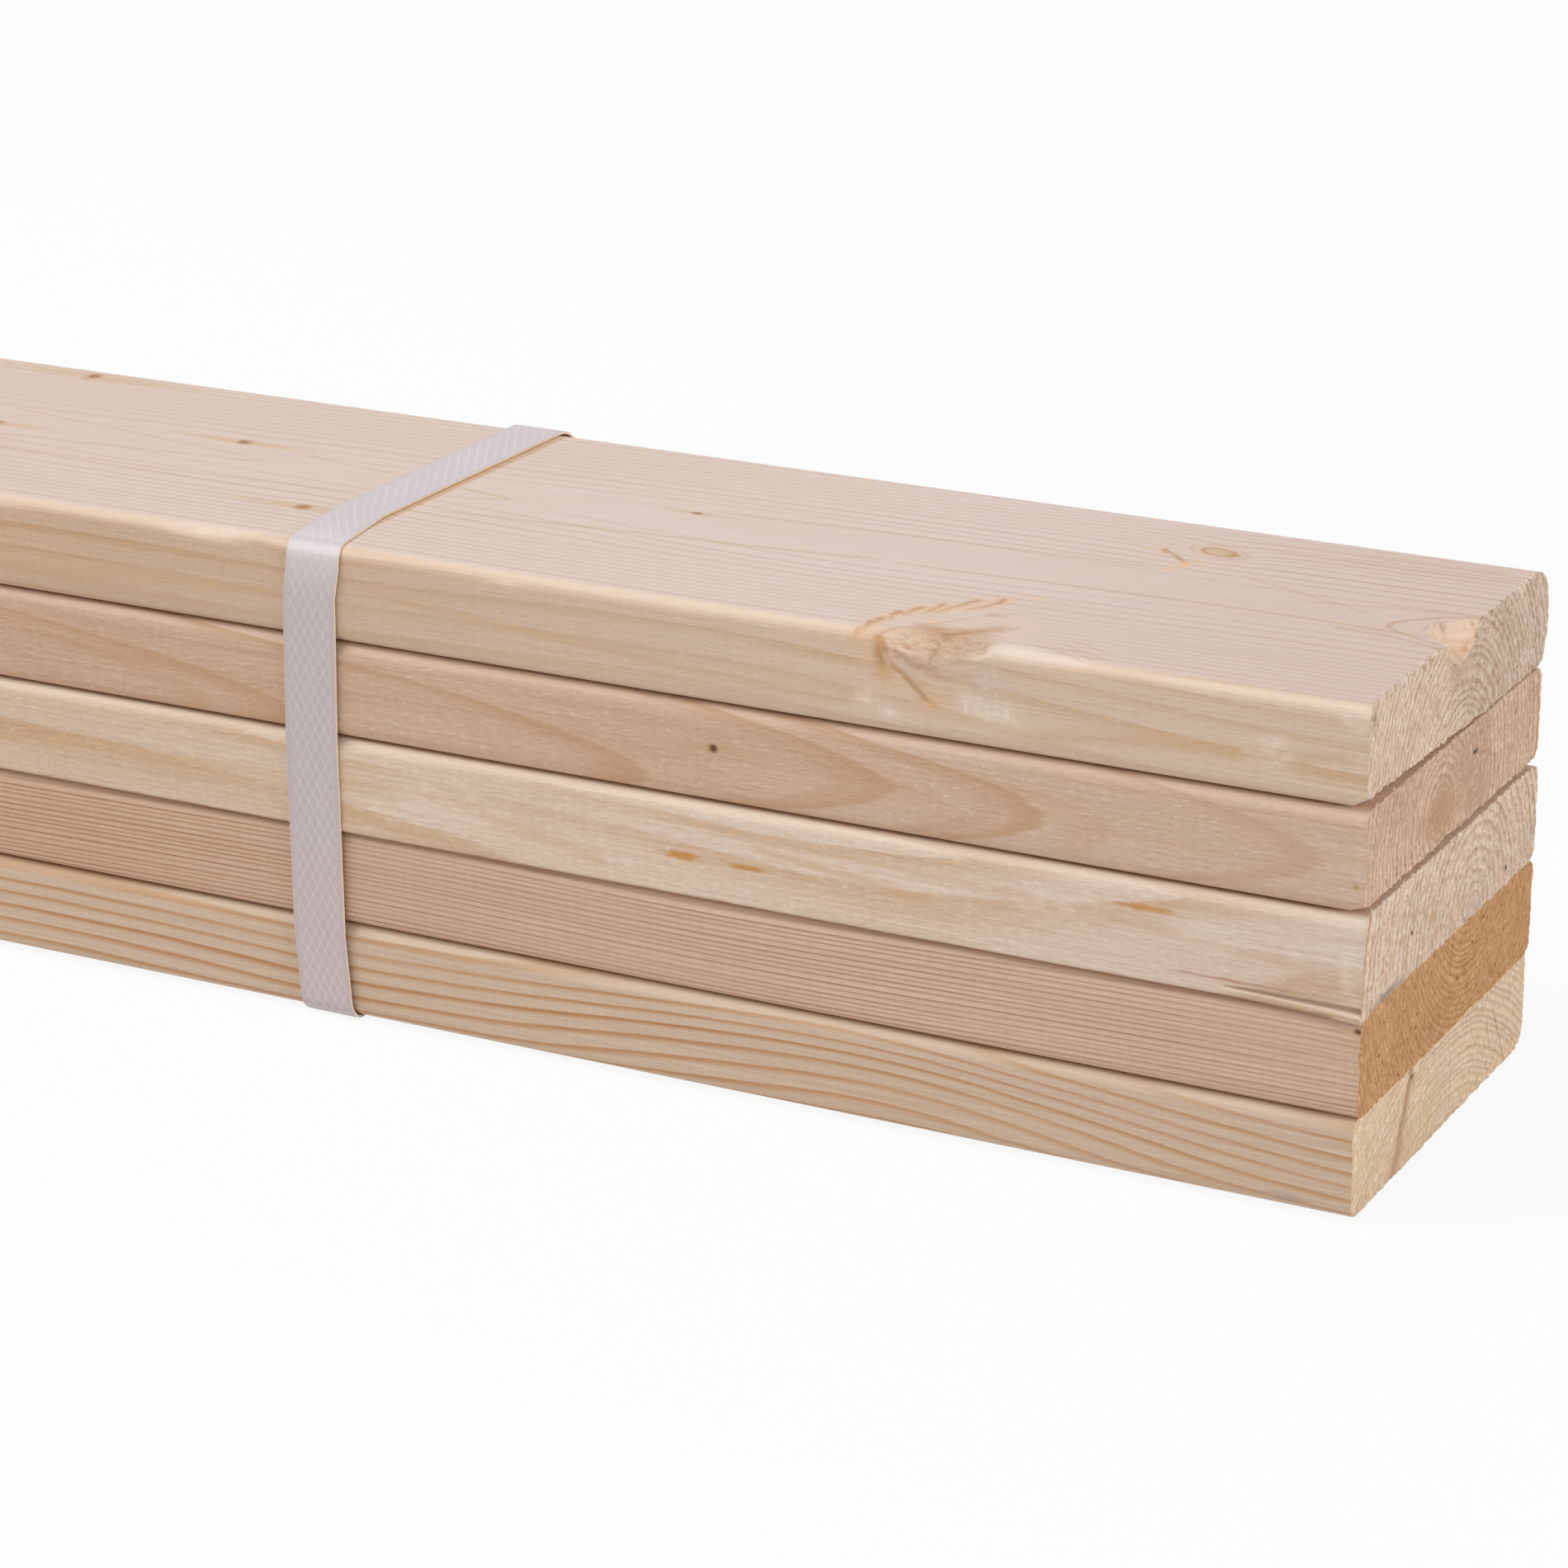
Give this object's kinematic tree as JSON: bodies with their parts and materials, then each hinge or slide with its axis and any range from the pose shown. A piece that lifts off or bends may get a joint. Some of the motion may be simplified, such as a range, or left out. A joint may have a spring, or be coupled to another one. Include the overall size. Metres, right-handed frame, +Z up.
{
  "type": "bundle of pine studs",
  "caption": "Flat stack of planed pine studs with eased edges, sawn ends and a torn knot, held together by plastic strapping bands near the ends.",
  "frame": {"origin": "middle of the bundle's footprint, on the floor under the straps", "axes": "+X along the studs towards the end with the broken knot, -Y towards the front of the stack, +Z up"},
  "size_m": [1.8008, 0.101, 0.1018],
  "materials": {
    "wood_striped": "planed, raw",
    "wood_tan": "planed, raw",
    "wood_cream": "planed, raw",
    "wood_pink": "planed, raw",
    "wood_pale": "planed, raw",
    "strap": "embossed, slightly translucent"
  },
  "bodies": {
    "root": {"stud_1": "wood_striped", "stud_2": "wood_tan", "stud_3": "wood_cream", "stud_4": "wood_pink", "stud_5": "wood_pale", "strap_right": "strap", "strap_left": "strap"}
  },
  "joints": []
}
